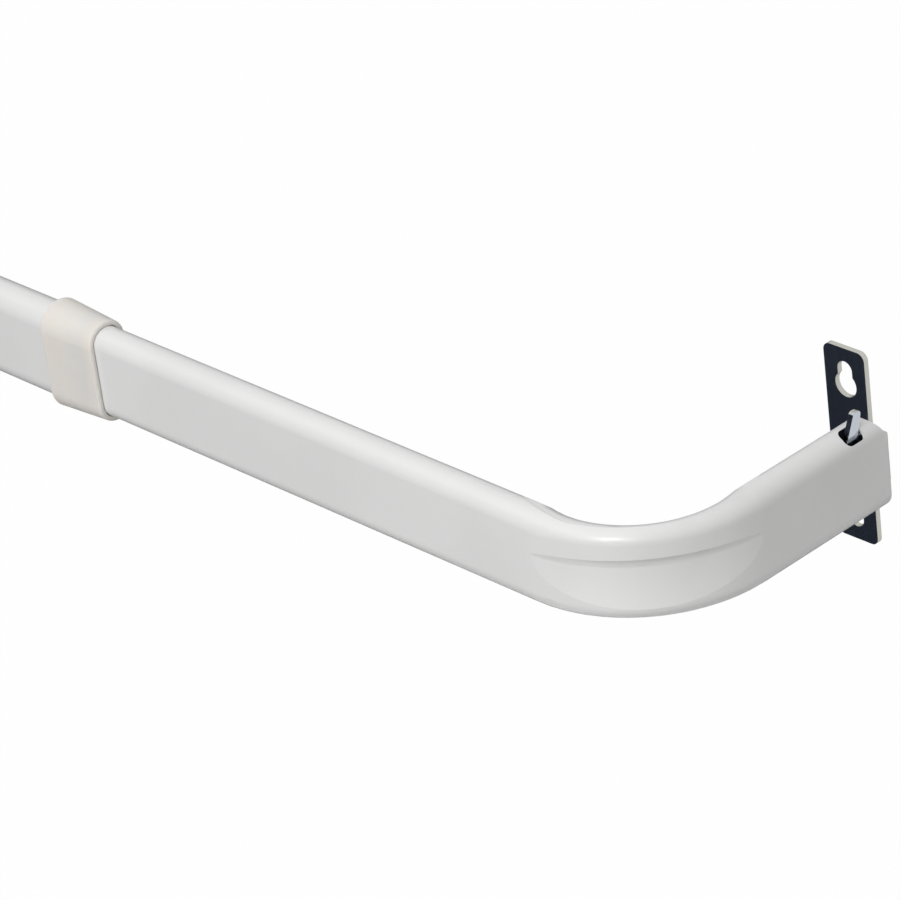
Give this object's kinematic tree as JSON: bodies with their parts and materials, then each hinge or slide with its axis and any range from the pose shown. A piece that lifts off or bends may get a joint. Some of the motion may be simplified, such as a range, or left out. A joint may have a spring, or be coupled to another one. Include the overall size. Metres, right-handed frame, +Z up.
{
  "type": "curtain rod",
  "caption": "Telescoping lock-seam curtain rod with curved returns, a snag collar at the joint and hook-on wall brackets with keyholes.",
  "frame": {"origin": "middle of the right bracket's wall face", "axes": "+X along the rod towards its right return, +Y into the wall, +Z up"},
  "size_m": [0.8485, 0.0832, 0.05],
  "materials": {
    "white_enamel": "satin baked enamel on steel",
    "ivory_plastic": "smooth moulded plastic",
    "zinc_plate": "bright zinc-plated steel"
  },
  "bodies": {
    "inner_half": {"inner_rod": "white_enamel", "right_bracket": "zinc_plate"},
    "outer_half": {"outer_rod": "white_enamel", "collar": "ivory_plastic", "left_bracket": "zinc_plate"}
  },
  "joints": [
    {"name": "rod_extension", "type": "slide", "parent": "inner_half", "child": "outer_half", "axis": [-1, 0, 0], "range_m": [-0.1375, 0.3705]}
  ]
}
